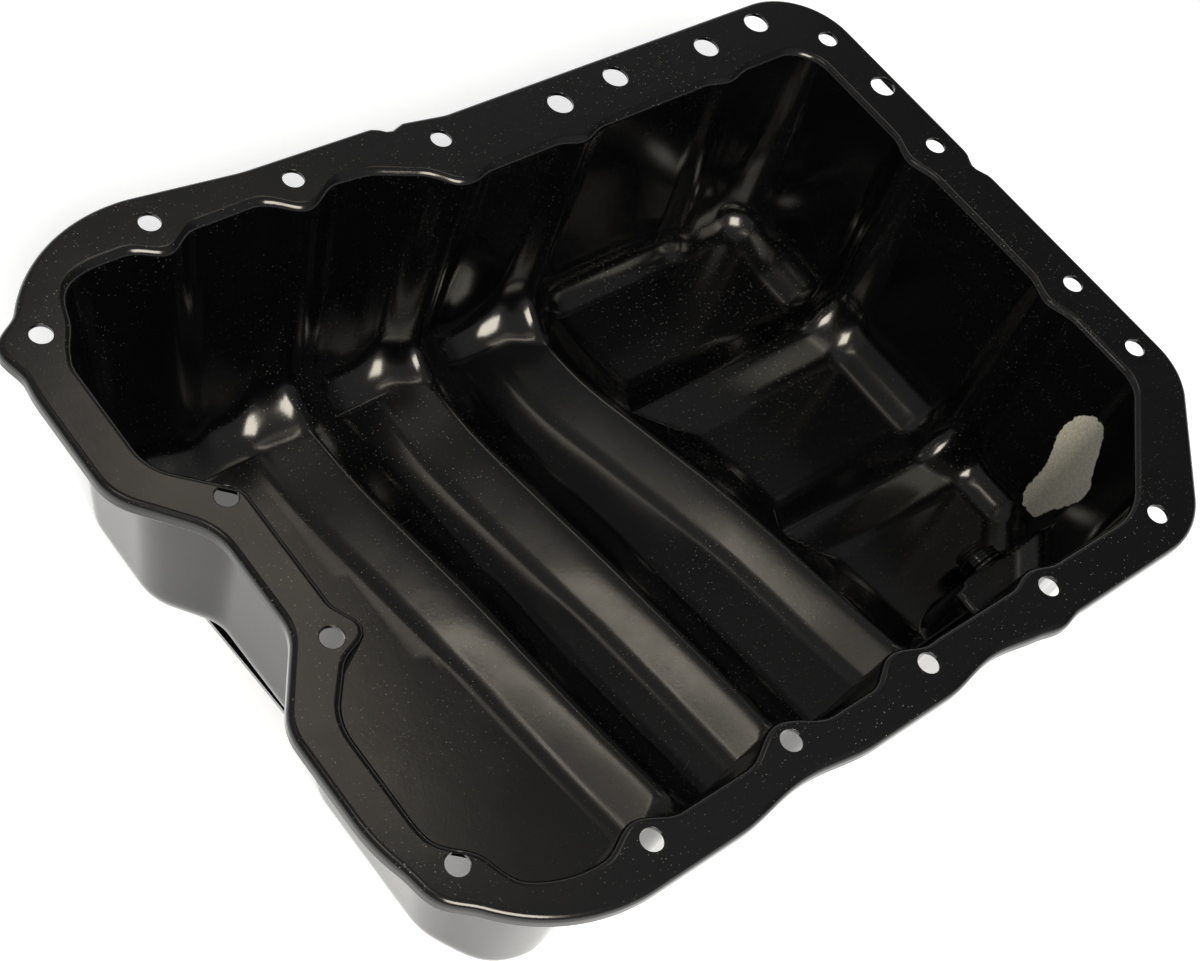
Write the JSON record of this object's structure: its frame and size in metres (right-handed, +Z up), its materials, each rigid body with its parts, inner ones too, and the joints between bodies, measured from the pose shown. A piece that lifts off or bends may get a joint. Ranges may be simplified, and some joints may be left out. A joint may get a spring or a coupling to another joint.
{
  "type": "engine oil pan",
  "caption": "Deep pressed steel oil pan with a rolled bolt flange, scalloped walls, channels across its floor and a drain plug in a ledge at the foot of one wall.",
  "frame": {"origin": "on the gasket face, midway between the second and the last bolt hole of the front row", "axes": "+X along the pan towards its wide end, +Y from the drain side across to the side with the large bolt holes, +Z up out of the open side, towards the engine"},
  "size_m": [0.3433, 0.2667, 0.084],
  "materials": {
    "black_paint": "gloss black stove enamel on pressed steel",
    "black_oxide": "black oxide on machined steel",
    "washer_alloy": "soft matt aluminium"
  },
  "bodies": {
    "root": {"pan_body": "black_paint", "drain_nut": "black_paint", "plug_washer": "washer_alloy", "drain_plug": "black_oxide"}
  },
  "joints": []
}
